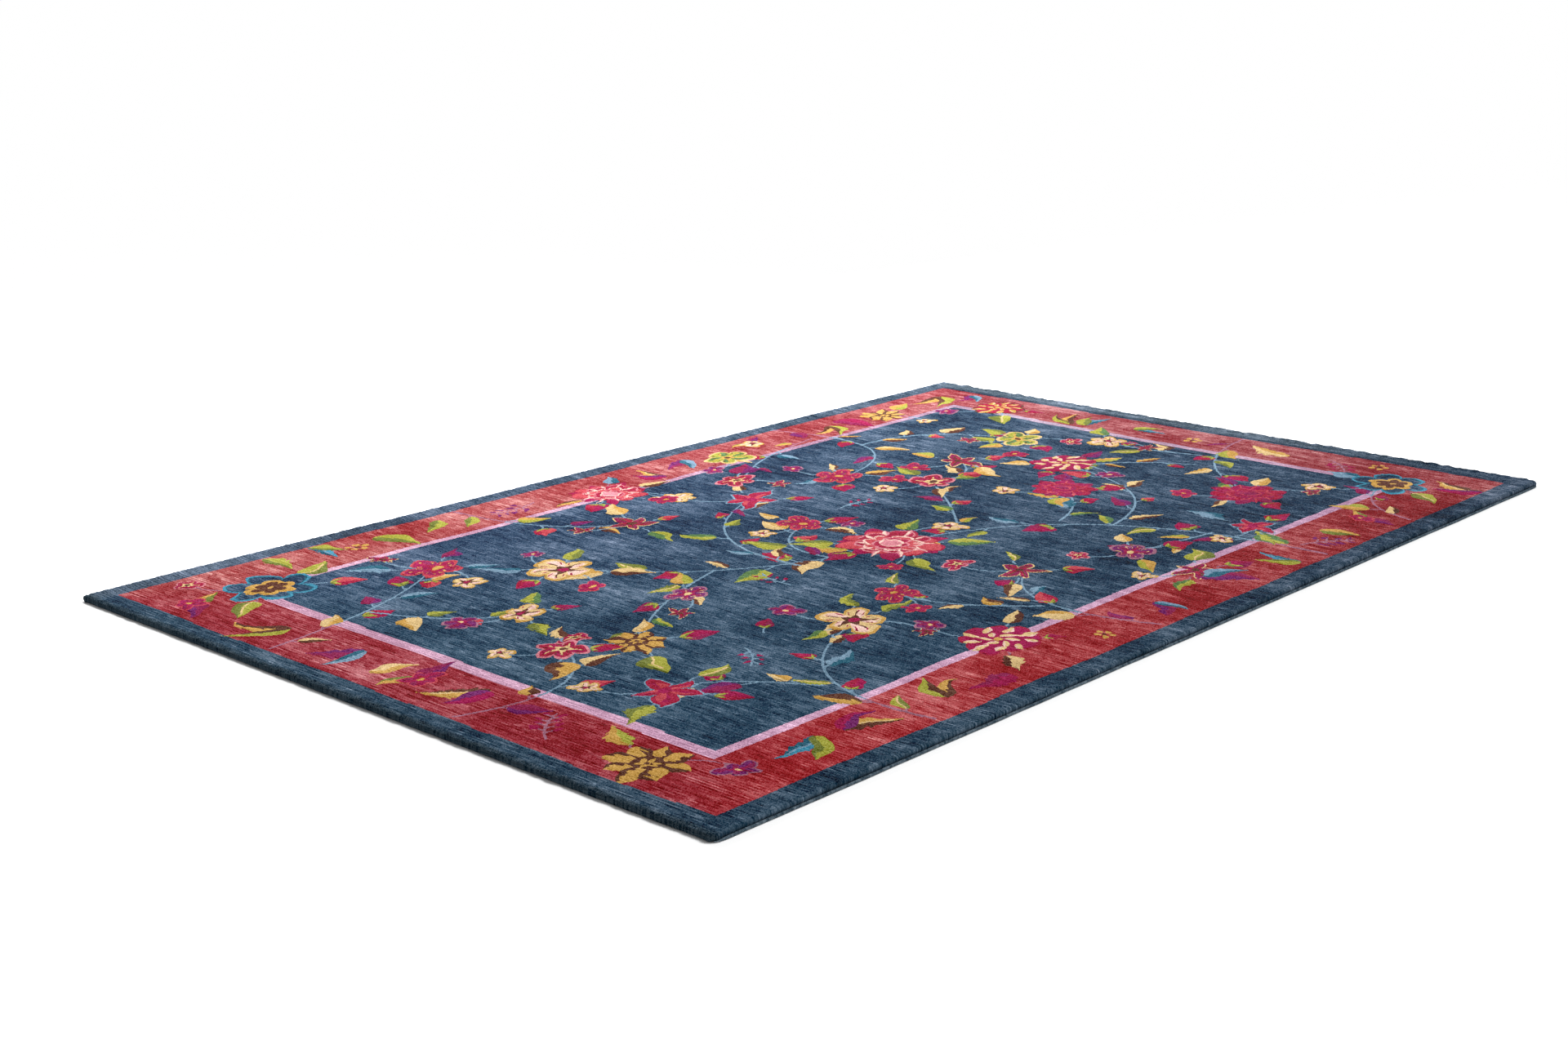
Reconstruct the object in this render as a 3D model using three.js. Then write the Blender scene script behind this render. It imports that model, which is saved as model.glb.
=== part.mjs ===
import * as THREE from "three";

// Flat hand-knotted wool rug, lying on the floor. Millimetres, +Z up.
// The origin is on the floor under the middle of the rug, and +X runs along its long side.

const LONG_SIDE = 3020;
const SHORT_SIDE = 1980;
const FOUNDATION_THICKNESS = 4;
const PILE_HEIGHT = 10;
const CORNER_RADIUS = 16;
const CORNER_STEPS = 6;

const THICKNESS = FOUNDATION_THICKNESS + PILE_HEIGHT;

// Section of the edge, from the back of the foundation up and over the rolled pile.
// height is a share of the thickness, inset is the distance in from the widest line.
const EDGE_SECTION = [
  { height: 0, inset: 4 },
  { height: 0.14, inset: 1.6 },
  { height: 0.32, inset: 0.3 },
  { height: 0.5, inset: 0 },
  { height: 0.68, inset: 0.8 },
  { height: 0.83, inset: 2.6 },
  { height: 0.94, inset: 5.6 },
  { height: 1, inset: 10.5 },
];

// The four rounded corners, counter-clockwise seen from above, each starting at its own angle.
const CORNERS = [
  { alongX: 1, alongY: 1, startAngle: 0 },
  { alongX: -1, alongY: 1, startAngle: Math.PI / 2 },
  { alongX: -1, alongY: -1, startAngle: Math.PI },
  { alongX: 1, alongY: -1, startAngle: 1.5 * Math.PI },
];

// One closed ring around the rug: the rounded outline drawn in by the row's inset.
function ringPoints(row) {
  const radius = CORNER_RADIUS - row.inset;
  const points = [];
  for (const corner of CORNERS) {
    const centreX = corner.alongX * (LONG_SIDE / 2 - CORNER_RADIUS);
    const centreY = corner.alongY * (SHORT_SIDE / 2 - CORNER_RADIUS);
    for (let step = 0; step <= CORNER_STEPS; step += 1) {
      const angle = corner.startAngle + (step / CORNER_STEPS) * (Math.PI / 2);
      const x = centreX + radius * Math.cos(angle);
      const y = centreY + radius * Math.sin(angle);
      points.push([x, y, row.height * THICKNESS]);
    }
  }
  return points;
}

// The slab: the rings of the edge section joined into a wall, closed by a flat back and a flat top.
function rugGeometry() {
  const rings = EDGE_SECTION.map(ringPoints);
  const ringSize = rings[0].length;
  const backCentre = rings.length * ringSize;
  const topCentre = backCentre + 1;
  const positions = [...rings.flat(), [0, 0, 0], [0, 0, THICKNESS]];
  const triangles = [];
  for (let here = 0; here < ringSize; here += 1) {
    const next = (here + 1) % ringSize;
    for (let level = 0; level < rings.length - 1; level += 1) {
      const low = level * ringSize;
      const high = low + ringSize;
      triangles.push([low + here, low + next, high + next]);
      triangles.push([low + here, high + next, high + here]);
    }
    const topRing = (rings.length - 1) * ringSize;
    triangles.push([backCentre, next, here]);
    triangles.push([topCentre, topRing + here, topRing + next]);
  }
  const geometry = new THREE.BufferGeometry();
  geometry.setAttribute("position", new THREE.Float32BufferAttribute(positions.flat(), 3));
  geometry.setIndex(triangles.flat());
  geometry.computeVertexNormals();
  return geometry;
}

const blueWool = new THREE.MeshStandardMaterial({ color: 0x2f4459, roughness: 0.95, metalness: 0 });

const rug = new THREE.Mesh(rugGeometry(), blueWool);
rug.name = "rug";

const part = new THREE.Group();
part.add(rug);

export default part;
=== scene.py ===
from collections import namedtuple
from functools import partial
from math import cos, pi, radians, sin, tau

import bpy
import numpy as np
from mathutils import Matrix, Vector


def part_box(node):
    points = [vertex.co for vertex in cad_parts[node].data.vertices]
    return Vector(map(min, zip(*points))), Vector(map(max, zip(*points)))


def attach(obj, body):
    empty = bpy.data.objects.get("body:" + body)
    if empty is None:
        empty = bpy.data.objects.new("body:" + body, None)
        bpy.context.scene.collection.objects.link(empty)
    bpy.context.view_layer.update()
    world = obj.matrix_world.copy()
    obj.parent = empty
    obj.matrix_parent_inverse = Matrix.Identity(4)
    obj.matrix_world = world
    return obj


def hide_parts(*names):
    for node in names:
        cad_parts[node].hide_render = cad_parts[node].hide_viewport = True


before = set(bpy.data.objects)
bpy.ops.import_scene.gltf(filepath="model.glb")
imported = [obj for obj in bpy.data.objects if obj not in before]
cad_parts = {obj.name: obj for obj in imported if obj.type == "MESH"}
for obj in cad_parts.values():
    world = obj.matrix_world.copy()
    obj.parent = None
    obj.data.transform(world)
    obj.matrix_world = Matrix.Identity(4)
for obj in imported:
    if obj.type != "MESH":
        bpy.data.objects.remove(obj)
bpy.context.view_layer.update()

# A hand-knotted wool rug: row on row of cut pile, knotted from a chart of yarns, on a flat foundation.
# Metres, +Z up. Rows run along Y, across the rug, and follow each other along X. The near end and the near
# long side in the photograph are -x and -y. An uneven field is a pair: its wavelengths and its height.

SEED = 11
RUG_LOW, RUG_HIGH = (np.array(corner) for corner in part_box("rug"))
HALF_LENGTH, HALF_WIDTH = (RUG_HIGH - RUG_LOW)[:2] / 2

# the rows of pile
ROW_PITCH = 0.0044
KNOT_PITCH = 0.002
PILE_TOP = 0.0135
VALLEY_DEPTH = 0.0006
LINE_DEPTH = 0.0006
DEPTH_SPREAD = 0.15
DEPTH_SPACING = 0.020
CREST_LUMPS = 0.00028
CREST_SPACING = 0.014
ROW_STEPS = 0.00016
ROW_WOBBLE = ((0.3, 1.0), 0.0010)
PILE_SAG = ((0.25, 0.9), 0.0003)
MOTIF_RELIEF = 0.0010
CARVED_DEPTH = 0.0005
PACKED_SHARE = 0.55
LONGEST_TUFT_RUN = 0.018
SHORT_TUFT_RUN = 0.008
STRIPS = 5
# flanks run on a little below the next row's, so that no gap opens between two rows
FLANK_REACH = 1.3
# outlines lean from row to row: how far and how near two cuts may come, in knots, then shares of a tip's
# width, and what counts against joining changes between other yarns
LONGEST_LEAN = 4
LEAST_STEP = 0.04
TIP_LEAN = 0.45
UNLIKE_YARNS = 1000

# the rolled edge of the pile
ROLL_OUT = 0.0055
ROLL_DOWN = 0.0060
TUCK_IN = 0.0016
EDGE_FOOT = 0.0010
FOOT_TILT = radians(110)
EDGE_STEPS = 16
CORNER_RADIUS = 0.016
EDGE_RISE = 0.0014
FAR_RISE = 0.0027
FAR_REACH = 0.1
EDGE_LUMPS = ((0.012, 0.045), 0.0010)
EDGE_WAVES = 16
LUMPY_WIDTH = 0.024
SIDE_LUMPS = 0.3
SIDE_PACKED = 0.85
SIDE_PACKING = (-0.004, 0.006)
BEND_FADE = (0.1, 0.7)

# the overcast cords of the long sides
CORD_WIDTH = 0.0066
CORD_HEIGHT = 0.0050
CORD_OUT = 0.0026
CORD_SIDES = 10
CORD_END = 0.006
CORD_END_SIZE = 0.3
CORD_TAPER = 0.030
CORD_DRIFT = ((0.1, 0.5), 0.0003)
CORD_CLEARANCE = 0.0001
WRAP_PITCH = 0.006
WRAP_STEPS = 4
WRAP_GROOVE = 0.18
WRAP_TONES = 997
LOW_TONE = 0.4
CORD_DARK = (54, 70, 82)
CORD_PALE = (122, 136, 146)

# the foundation: heights and insets of its edge, from the floor up
FOUNDATION_TOP = 0.0085
FOUNDATION_SECTION = ((0.0, 0.0025), (0.0020, 0.0), (0.0050, 0.0), (0.0072, 0.0015), (FOUNDATION_TOP, 0.0060))
FOUNDATION_INSET = 0.0030
FOUNDATION_CORNER = 0.013
CORNER_STEPS = 6
FOUNDATION_COLOUR = (40, 52, 68)

# the yarns, as sRGB colours: the first three are the grounds
YARNS = {
    "navy": (52, 74, 93),
    "red": (139, 41, 50),
    "lilac": (192, 150, 176),
    "teal": (44, 88, 106),
    "turquoise": (64, 128, 152),
    "sky": (110, 136, 156),
    "cream": (196, 168, 118),
    "ochre": (180, 140, 72),
    "brown": (86, 52, 38),
    "lime": (148, 147, 60),
    "olive": (104, 110, 50),
    "green": (82, 110, 66),
    "magenta": (140, 14, 68),
    "crimson": (144, 24, 56),
    "coral": (172, 66, 74),
    "pink": (188, 116, 126),
    "blush": (212, 176, 164),
    "purple": (104, 34, 90),
    "plum": (124, 28, 70),
    "mauve": (146, 98, 116),
}
YARN_NUMBER = {name: number for number, name in enumerate(YARNS)}
GROUNDS = 3
COLOUR_RANGE = (2, 250)
# how far a streak shifts each channel of a yarn
SWING = {"navy": (28, 26, 26), "red": (25, 36, 34), "lilac": (20, 20, 20), "motif": (9, 9, 9)}
DARK_SWING = (0.70, 0.75, 0.75)
# how the wool of the outer band differs
OUTER_LOT = (-5, -7, -9)
# each side was knotted from dye lots of its own, with painted light, shade and sheen mixed in: how a ground
# yarn differs at the side's start and end
LOTS_AND_PAINTED_LIGHT = {
    "navy": {
        "-x": ((0, 0, 0), (5, 5, 5)),
        "+x": ((-10, -15, -15), (-5, -10, -10)),
        "-y": ((0, 0, 0), (-10, -15, -15)),
        "+y": ((0, -5, 0), (-5, -10, -10)),
    },
    "red": {
        "-x": ((0, 5, 5), (0, 5, 5)),
        "+x": ((-5, 20, 15), (0, 30, 25)),
        "-y": ((20, 15, 10), (-15, -5, -10)),
        "+y": ((15, 35, 25), (-5, 20, 15)),
    },
    "lilac": {
        "-x": ((0, 0, 0), (-10, -10, -15)),
        "+x": ((-20, -15, -20), (-45, -15, -25)),
        "-y": ((5, 5, 5), (-30, -25, -25)),
        "+y": ((0, 0, -5), (-50, -40, -45)),
    },
}
LOT_AND_LIGHT_BLEND = 0.05
LOT_AND_LIGHT_POWER = 3
# streaks in the wool, as shares of a yarn's swing
CLOUDS = (((0.06, 0.7), 0.40), ((0.014, 0.06), 0.26))
CLOUD_WAVES = 24
BALL_ROWS = 5
BALL_SPACING = 0.30
BALL_STREAK = 0.20
FINE_SPACINGS = (0.045, 0.012)
FINE_STREAK = 0.34
DASH_SPACING = 0.020
DASH_START = 0.8
DASH_STREAK = 0.7
LINE_STREAKS = (0.08, -0.10)
ROW_STREAK = 0.13
MOTTLED_EDGE = ((0.012, 0.05), 0.40)
# painted shade on the bent edges: where it ends, in metres of pile from the foot, and the light left in it
NEAR_END_SHADE = ((0.015, 0.037), 0.15)
FAR_END_SHADE = ((0.003, 0.011), 0.40)
FAR_SIDE_SHADE = ((0.002, 0.010), 0.70)
SHADE_DRIFT = 0.002
SHADE_SPACING = 0.018
# the dull dark colour of the painted shade on the bent edges
EDGE_SHADE_COLOUR = (43, 54, 61)
# painted sheen, as of light caught by loose fibres: how much, where it fades, and its share along the far end
# and the far side
SIDE_SHEEN_PAINT = (0.014, 0.020, 0.024)
SIDE_SHEEN_FADE = (-0.006, 0.003)
FAR_SHEEN_PAINT = (0.044, 0.051, 0.052)
FAR_SHEEN_FADE = (0.03, 0.07)
FAR_END_SHEEN = ((-0.9, -0.2), (0, 1))
FAR_SIDE_SHEEN = ((-1.2, -0.6), (1, 0.4))

# where the red border, the lilac stripe and the field begin, from each edge inwards
BANDS = {
    "-x": (0.059, 0.247, 0.279),
    "+x": (0.070, 0.248, 0.275),
    "-y": (0.057, 0.243, 0.268),
    "+y": (0.054, 0.238, 0.260),
}
# the stripe lies a little askew: how much deeper it begins for every metre along Y or X
SKEW = {"-x": 0.007, "+x": -0.012, "-y": 0.006, "+y": 0.0}
LONG_BAND_WAVES = ((0.2, 0.7), 0.0014)
SHORT_BAND_WAVES = ((0.25, 0.8), 0.0020)
# from each edge inwards: where no motif shows, where none may reach, and a line within the red border
BARE_RIM = 0.046
CLEAR_BAND = 0.066
INSIDE_BORDER = 0.1
# half the length and half the width of the middle line of the red border, and of the open field
BORDER_LINE = (1.356, 0.841)
OPEN_FIELD = (1.1, 0.6)

# the motifs
DRAWING_WAVES = ((0.05, 0.16), 0.0036)
RIB_WIDTH = 0.0048
LARGE_BLOSSOM = 0.055
LEAF_WIDTHS = (0.42, 0.60)
LEAF_BENDS = (-0.16, 0.16)
NOTCHED_SHARE = 0.3
LEAF_TEETH = 5
LEAF_SPREAD = (0.45, 1.1)
LEAF_SIZES = (0.75, 1.3)
COLLAR_LEAVES = (0.07, 0.115)
COMPANION_GAPS = (0.055, 0.085)
COMPANION_ROOM = 0.05
COMPANION_SIZES = (0.034, 0.046)
LOOSE_SIZES = (0.105, 0.155)
LOOSE_STRAY = 0.03

# the wool material: fibres and tufts to the metre, then ranges and the tones that they turn into
FIBRES_PER_METRE = (420, 90, 420)
TUFTS_PER_METRE = (270, 310, 0)
FIBRE_SHADE = (0.25, 0.75, 0.86, 1.14)
GAP_SHADE = (0.1, 0.7, 1.14, 0.76)
TUFT_SHADE = (0.0, 1.0, 0.88, 1.12)
FIBRE_DETAIL = 3.0
BUMP_STRENGTH = 0.8
BUMP_DEPTH = 0.0016
HAZE = 0.080
DARKEST = 0.002
WOOL_LOOK = {
    "Roughness": 0.85,
    "Specular IOR Level": 0.0,
    "Sheen Weight": 0.125,
    "Sheen Tint": (0.74, 0.88, 1.0, 1),
    "Sheen Roughness": 0.30,
}
FLOOR_LOOK = {"Base Color": (0.97, 0.97, 0.97, 1), "Roughness": 0.9, "Specular IOR Level": 0.0}
MAP_FOLDS = 3
MAP_MARGIN = 0.01

# the photograph's view: where the camera stood, which way it looked and its lens
CAMERA_AT = (-3.7417, -3.2740, 1.4164)
CAMERA_HEADING = radians(-46.549)
CAMERA_PITCH = radians(15.430)
CAMERA_ROLL = radians(-0.794)
CAMERA_LENS = 49.29
CAMERA_SENSOR = 36.0
CAMERA_SIGHT = 1500
FLOOR_REACH = 400
WORLD_LIGHT = 0.36

# a bough is a curve from start to end, drawn towards pull, with so many leaves of about one length, and a
# bloom is a kind of flower at a place, with a collar of leaves and smaller flowers
Branch = namedtuple("Branch", "start pull end leaves leaf")
Bloom = namedtuple("Bloom", "kind x y radius turn collar")
Pile = namedtuple("Pile", "chart cuts crest valley colour wobble sag slants")
Faces = namedtuple("Faces", "quads triangles colours smooth")


def rolled_edge():
    """Side view of the pile's edge: distance run past the flat top, out, up and the normal's tilt."""
    angle = np.linspace(0, pi / 2, EDGE_STEPS)
    out = ROLL_OUT * np.sin(angle)
    up = -ROLL_DOWN * (1 - np.cos(angle))
    tilt = np.arctan2(np.sin(angle) / ROLL_OUT, np.cos(angle) / ROLL_DOWN)
    out = np.append(out, ROLL_OUT - TUCK_IN)
    up = np.append(up, EDGE_FOOT - PILE_TOP)
    tilt = np.append(tilt, FOOT_TILT)
    run = np.concatenate(((0,), np.cumsum(np.hypot(np.diff(out), np.diff(up)))))
    return run, out, up, tilt


EDGE_RUN, EDGE_OUT, EDGE_UP, EDGE_TILT = rolled_edge()
FLAT_LENGTH = HALF_LENGTH - ROLL_OUT
FLAT_WIDTH = HALF_WIDTH - ROLL_OUT
CORNER_FLAT = CORNER_RADIUS - ROLL_OUT
CORE_LENGTH = HALF_LENGTH - CORNER_RADIUS
CORE_WIDTH = HALF_WIDTH - CORNER_RADIUS
ROLLED_LENGTH = 2 * (FLAT_LENGTH + EDGE_RUN[-1])
ROLLED_WIDTH = 2 * (FLAT_WIDTH + EDGE_RUN[-1])


def linear(colour):
    """sRGB, 0 to 255, as linear light."""
    share = np.asarray(colour, float) / 255
    return np.where(share <= 0.04045, share / 12.92, ((share + 0.055) / 1.055) ** 2.4)


def smooth_step(value, low, high):
    """0 below low, 1 above high and a smooth rise between."""
    share = np.clip((value - low) / (high - low), 0, 1)
    return share * share * (3 - 2 * share)


def ripple(x, y, rng, waves, amplitude, count=9):
    """Smooth uneven field: sines of wavelengths between waves, in random directions."""
    field = np.zeros(np.broadcast(x, y).shape)
    for _ in range(count):
        wave = rng.uniform(*waves)
        angle, phase = rng.uniform(0, tau, 2)
        field += np.sin(tau / wave * (x * cos(angle) + y * sin(angle)) + phase)
    return amplitude * field / np.sqrt(count / 2)


def row_noise(rng, rows, cuts, spacing):
    """A smooth random value along each row, changing every spacing metres or so."""
    places = np.arange(cuts) * KNOT_PITCH / spacing
    knots = rng.standard_normal((rows, int(places[-1]) + 2))
    low = places.astype(int)
    share = smooth_step(places - low, 0, 1)
    return knots[:, low] * (1 - share) + knots[:, low + 1] * share


class Chart:
    """The knotting plan: a yarn number for each knot, rows along X and knots along Y.

    Shapes are drawn in a slightly wavy grid, and each row has a jitter of its own, so that
    outlines and shading come out as uneven as drawn and knotted by hand.
    """

    def __init__(self, rng):
        rows = round(ROLLED_LENGTH / ROW_PITCH)
        knots = round(ROLLED_WIDTH / KNOT_PITCH)
        self.x = (np.arange(rows) + 0.5) * ROW_PITCH - ROLLED_LENGTH / 2
        self.y = (np.arange(knots) + 0.5) * KNOT_PITCH - ROLLED_WIDTH / 2
        self.cut_y = np.arange(knots + 1) * KNOT_PITCH - ROLLED_WIDTH / 2
        self.yarn = np.full((rows, knots), YARN_NUMBER["navy"], np.uint8)
        grid = self.x[:, None], self.y[None, :]
        self.wave_x = ripple(*grid, rng, *DRAWING_WAVES)
        self.wave_y = ripple(*grid, rng, *DRAWING_WAVES)
        self.jitter = rng.uniform(-1, 1, rows)[:, None]

    def near(self, x, y, reach):
        """The patch of the chart within reach of a point, and its knots' distances from the point."""
        low_row, high_row = np.searchsorted(self.x, (x - reach, x + reach))
        low_knot, high_knot = np.searchsorted(self.y, (y - reach, y + reach))
        patch = (slice(low_row, high_row), slice(low_knot, high_knot))
        dx = self.x[patch[0], None] - x + self.wave_x[patch]
        dy = self.y[None, patch[1]] - y + self.wave_y[patch]
        return patch, dx, dy

    def knot(self, patch, inside, yarn):
        self.yarn[patch][inside] = YARN_NUMBER[yarn]

    def free(self, x, y, reach, ground):
        """True where the ground around a point is still bare."""
        patch, dx, dy = self.near(x, y, reach)
        return (self.yarn[patch][np.hypot(dx, dy) < reach] == YARN_NUMBER[ground]).all()


def side_depths(x, y, off_x=0, off_y=0):
    """How far inside each side of the rug a place lies."""
    return {
        "-x": HALF_LENGTH + x + off_x,
        "+x": HALF_LENGTH - x + off_x,
        "-y": HALF_WIDTH + y + off_y,
        "+y": HALF_WIDTH - y + off_y,
    }


def lay_bands(chart, rng):
    """Outer band, border, stripe and field, with long edges a little uneven."""
    x, y = chart.x[:, None], chart.y[None, :]
    along_x = ripple(x, 0 * x, rng, *LONG_BAND_WAVES)
    along_y = ripple(0 * y, y, rng, *SHORT_BAND_WAVES)
    depths = side_depths(x, y, along_y, along_x)
    for step, yarn in enumerate(("red", "lilac", "navy")):
        inside = np.ones(chart.yarn.shape, bool)
        for side, widths in BANDS.items():
            askew = 0 if yarn == "red" else SKEW[side] * (y if side[1] == "x" else x)
            inside &= depths[side] > widths[step] + askew
        chart.yarn[inside] = YARN_NUMBER[yarn]
    chart.ground = chart.yarn.copy()


def turned(dx, dy, angle):
    """Distances along and across a direction."""
    return dx * cos(angle) + dy * sin(angle), dy * cos(angle) - dx * sin(angle)


def away(x, y, angle, length):
    """The place at a length from another, in the direction of an angle."""
    return x + length * cos(angle), y + length * sin(angle)


# In the drawing of motifs, bare numbers are proportions of the motif, angles in radians, counts or seeds.


def leaf(chart, x, y, angle, length, yarns, width=0.44, bend=0.12, teeth=0):
    """A pointed leaf or petal from its stalk end: light half, dark half and an outline or rib."""
    patch, dx, dy = chart.near(x, y, 1.15 * length)
    along, across = turned(dx, dy, angle)
    u = np.clip(along / length, 0, 1)
    half = width / 2 * length * np.sin(pi * u**0.66) * (1.12 - 0.42 * u)
    if teeth:
        half = half * (1 - 0.36 * ((u * teeth) % 1))
    off = across - bend * length * np.sin(pi * u)
    inside = (along > 0) & (along < length) & (np.abs(off) < half)
    chart.knot(patch, inside, yarns[0])
    shade = off < (-0.12 + 0.22 * chart.jitter[patch[0]] - np.clip(u - 0.6, 0, 1)) * half
    chart.knot(patch, inside & shade, yarns[1])
    if len(yarns) > 2:
        chart.knot(patch, inside & (np.abs(off) < RIB_WIDTH / 2) & (u < 0.8), yarns[2])


def stroke(chart, points, widths):
    """A line of knots along points, as wide as widths say: pale blue, or mauve where it crosses red."""
    reach_rows = int(np.ceil(widths.max() / 2 / ROW_PITCH)) + 1
    reach_knots = int(np.ceil(widths.max() / 2 / KNOT_PITCH)) + 1
    rows = np.searchsorted(chart.x, points[:, 0])
    knots = np.searchsorted(chart.y, points[:, 1])
    warm = chart.ground == YARN_NUMBER["red"]
    for row_step in range(-reach_rows, reach_rows + 1):
        for knot_step in range(-reach_knots, reach_knots + 1):
            row = np.clip(rows + row_step, 0, len(chart.x) - 1)
            knot = np.clip(knots + knot_step, 0, len(chart.y) - 1)
            gap = np.hypot(chart.x[row] - points[:, 0], chart.y[knot] - points[:, 1])
            near = gap < widths / 2
            row, knot = row[near], knot[near]
            chart.yarn[row, knot] = np.where(warm[row, knot], YARN_NUMBER["mauve"], YARN_NUMBER["sky"])


def curve(start, pull, end, step=0.0015):
    """Points along a branch from start to end, drawn towards pull."""
    start, pull, end = (np.array(point) for point in (start, pull, end))
    length = np.linalg.norm(pull - start) + np.linalg.norm(end - pull)
    t = np.linspace(0, 1, max(8, int(length / step)))[:, None]
    return (1 - t) ** 2 * start + 2 * t * (1 - t) * pull + t**2 * end


def twig(chart, start, pull, end, thick=0.0054, thin=0.0046):
    points = curve(start, pull, end)
    stroke(chart, points, np.linspace(thick, thin, len(points)))
    return points


def polar(chart, x, y, reach, turn, squash=1.0):
    """Distance and direction from a flower's heart. A squashed flower is seen a little from its side."""
    patch, dx, dy = chart.near(x, y, reach)
    along, across = turned(dx, dy, turn)
    return patch, np.hypot(along, across / squash), np.arctan2(across / squash, along)


def uneven(theta, count, seed, spread=0.16):
    """A size for each of count petals, no two quite alike."""
    sizes = 1 + spread * np.random.default_rng(seed).uniform(-1, 1, count)
    return sizes[np.round(theta * count / tau).astype(int) % count]


def lobes(theta, count, depth, power=0.7):
    """The outline of a round flower of count petals, 1 at their tips."""
    return 1 - depth * (1 - np.abs(np.cos(count * theta / 2)) ** power)


def petal_ring(chart, x, y, turn, count, inner, outer, width, yarns, squash=1.0, twist=0.0):
    """Separate petals in a ring, each a pointed lens from inner to outer, turning with twist."""
    patch, r, theta = polar(chart, x, y, 1.25 * outer, turn, squash)
    theta = theta + twist * r / outer
    outer = outer * uneven(theta, count, count + int(1000 * outer), 0.12)
    offset = ((theta * count / tau + 0.5) % 1 - 0.5) * tau / count
    along = (r * np.cos(offset) - inner) / (outer - inner)
    across = r * np.sin(offset)
    half = width / 2 * np.sin(pi * np.clip(along, 0, 1) ** 0.85)
    inside = (along > 0) & (along < 1) & (np.abs(across) < half)
    chart.knot(patch, inside, yarns[0])
    chart.knot(patch, inside & (across < (-0.3 + 0.3 * chart.jitter[patch[0]]) * half), yarns[1])


def disc(chart, x, y, radius, yarn):
    patch, dx, dy = chart.near(x, y, 1.3 * radius)
    chart.knot(patch, np.hypot(dx, dy) < radius, yarn)


def blossom(chart, x, y, radius, turn, yarns, count=5, squash=0.86):
    """Round petals with a rim, one half of each shaded, around a star-shaped heart."""
    rim, petal, shade, heart, eye = yarns
    patch, r, theta = polar(chart, x, y, 1.35 * radius, turn, squash)
    size = radius * uneven(theta, count, int(1e4 * radius + 1e3 * abs(x)))
    edge = size * lobes(theta, count, 0.42)
    chart.knot(patch, r < edge, rim)
    chart.knot(patch, r < edge - 0.13 * radius, petal)
    half = np.sin(count * theta) < -0.15 + 0.5 * chart.jitter[patch[0]]
    chart.knot(patch, half & (r < edge - 0.20 * radius), shade)
    if radius > LARGE_BLOSSOM:
        dash = (np.abs(np.sin(1.5 * count * theta)) < 0.30) & (r > 0.42 * size) & (r < 0.74 * size)
        chart.knot(patch, dash & (r < edge - 0.20 * radius), eye)
    vein = np.abs(np.sin(count * theta / 2)) < 0.13
    chart.knot(patch, vein & (r < 0.66 * size), heart)
    chart.knot(patch, r < radius * (0.30 + 0.09 * np.cos(count * theta)), heart)
    chart.knot(patch, r < 0.16 * radius, eye)


def daisy(chart, x, y, radius, turn, yarns, count=8, squash=0.9):
    """Narrow separate petals around a dark eye."""
    petal, shade, eye = yarns
    petal_ring(chart, x, y, turn, count, 0.22 * radius, radius, 0.56 * radius, (petal, shade), squash)
    disc(chart, x, y, 0.32 * radius, eye)
    petal_ring(chart, x, y, turn, 6, 0.05 * radius, 0.26 * radius, 0.12 * radius, (petal, petal))


def peony(chart, x, y, radius, turn, yarns, squash=0.86):
    """Layer on layer of scalloped petals, with pointed tips outside and a pale heart."""
    tip, outer, middle, inner, heart = yarns
    petal_ring(chart, x, y, turn, 7, 0.5 * radius, 1.12 * radius, 0.42 * radius, (tip, tip), squash)
    layers = ((0.98, 8, 0.30, outer, middle), (0.80, 7, 0.30, inner, outer), (0.62, 7, 0.28, heart, middle),
              (0.44, 6, 0.30, inner, outer), (0.28, 5, 0.30, heart, inner))
    for scale, count, depth, rim, fill in layers:
        patch, r, theta = polar(chart, x + 0.05 * radius * sin(9 * scale), y + 0.05 * radius * cos(7 * scale),
                                1.35 * radius, turn + scale * count, squash)
        edge = radius * scale * lobes(theta, count, depth, 0.55) * uneven(theta, count, count, 0.12)
        chart.knot(patch, r < edge, rim)
        chart.knot(patch, r < edge - (0.05 + 0.03 * chart.jitter[patch[0]]) * radius, fill)
    petal_ring(chart, x, y, turn, 10, 0.50 * radius, 0.90 * radius, 0.10 * radius, (heart, inner), squash)


def chrysanthemum(chart, x, y, radius, turn, yarns, squash=0.88):
    """A scalloped round with two rings of curling petals in a paler yarn."""
    rim, ground, petal, shade = yarns
    patch, r, theta = polar(chart, x, y, 1.3 * radius, turn, squash)
    edge = radius * lobes(theta, 9, 0.20, 0.6) * uneven(theta, 9, int(1e4 * radius), 0.10)
    chart.knot(patch, r < edge, rim)
    chart.knot(patch, r < edge - 0.08 * radius, ground)
    outer_ring = (9, 0.50 * radius, 0.94 * radius, 0.24 * radius)
    inner_ring = (6, 0.16 * radius, 0.54 * radius, 0.21 * radius)
    petal_ring(chart, x, y, turn, *outer_ring, (petal, shade), squash, 0.5)
    petal_ring(chart, x, y, turn + 0.3, *inner_ring, (petal, shade), squash, 0.5)
    disc(chart, x, y, 0.11 * radius, "ochre")


def lily(chart, x, y, radius, turn, yarns, count=5, squash=0.84):
    """A star of broad pointed petals with a fine outline."""
    outline, petal, inner, heart = yarns
    patch, r, theta = polar(chart, x, y, 1.35 * radius, turn, squash)
    size = radius * uneven(theta, count, int(1e4 * radius + 1e3 * abs(y)), 0.2)
    sector = np.abs((theta * count / tau + 0.5) % 1 - 0.5) * 2
    edge = size * (0.40 + 0.60 * (1 - sector) ** 1.1)
    chart.knot(patch, r < edge, outline)
    chart.knot(patch, r < edge - 0.075 * radius, petal)
    chart.knot(patch, (r < 0.70 * edge) & (np.sin(count * theta) < 0.4 * chart.jitter[patch[0]]), inner)
    chart.knot(patch, (sector < 0.12) & (r < 0.66 * size), heart)
    chart.knot(patch, r < 0.17 * radius, heart)


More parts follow.
